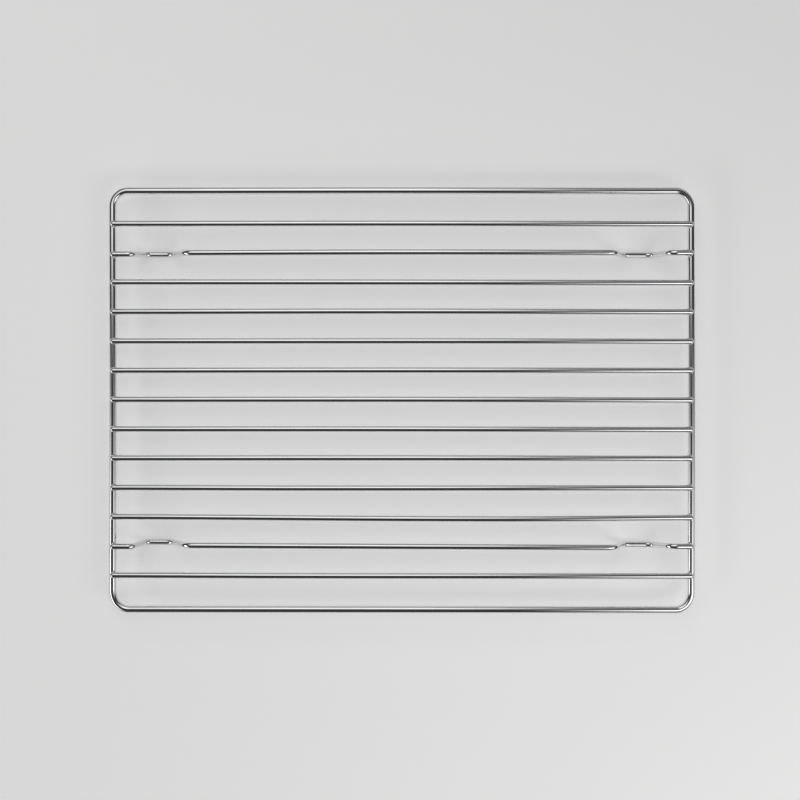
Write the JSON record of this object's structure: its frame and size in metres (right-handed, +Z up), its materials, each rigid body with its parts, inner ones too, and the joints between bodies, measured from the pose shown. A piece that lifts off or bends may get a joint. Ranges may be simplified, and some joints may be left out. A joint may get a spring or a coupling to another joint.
{
  "type": "roasting rack",
  "caption": "Chrome-plated wire rack: a rounded rectangular ring with parallel cross wires, two of them bent down into low feet.",
  "frame": {"origin": "middle of the rack's outline, on the surface that its feet stand on", "axes": "+X along the cross wires to the right, +Y from the front to the back, +Z up"},
  "size_m": [0.38, 0.278, 0.019],
  "materials": {
    "ring_wire": "polished",
    "cross_wire": "polished"
  },
  "bodies": {
    "root": {"outer_frame": "ring_wire", "front_foot_wire": "cross_wire", "rear_foot_wire": "cross_wire", "cross_wire_01": "cross_wire", "cross_wire_02": "cross_wire", "cross_wire_03": "cross_wire", "cross_wire_04": "cross_wire", "cross_wire_05": "cross_wire", "cross_wire_06": "cross_wire", "cross_wire_07": "cross_wire", "cross_wire_08": "cross_wire", "cross_wire_09": "cross_wire", "cross_wire_10": "cross_wire", "cross_wire_11": "cross_wire"}
  },
  "joints": []
}
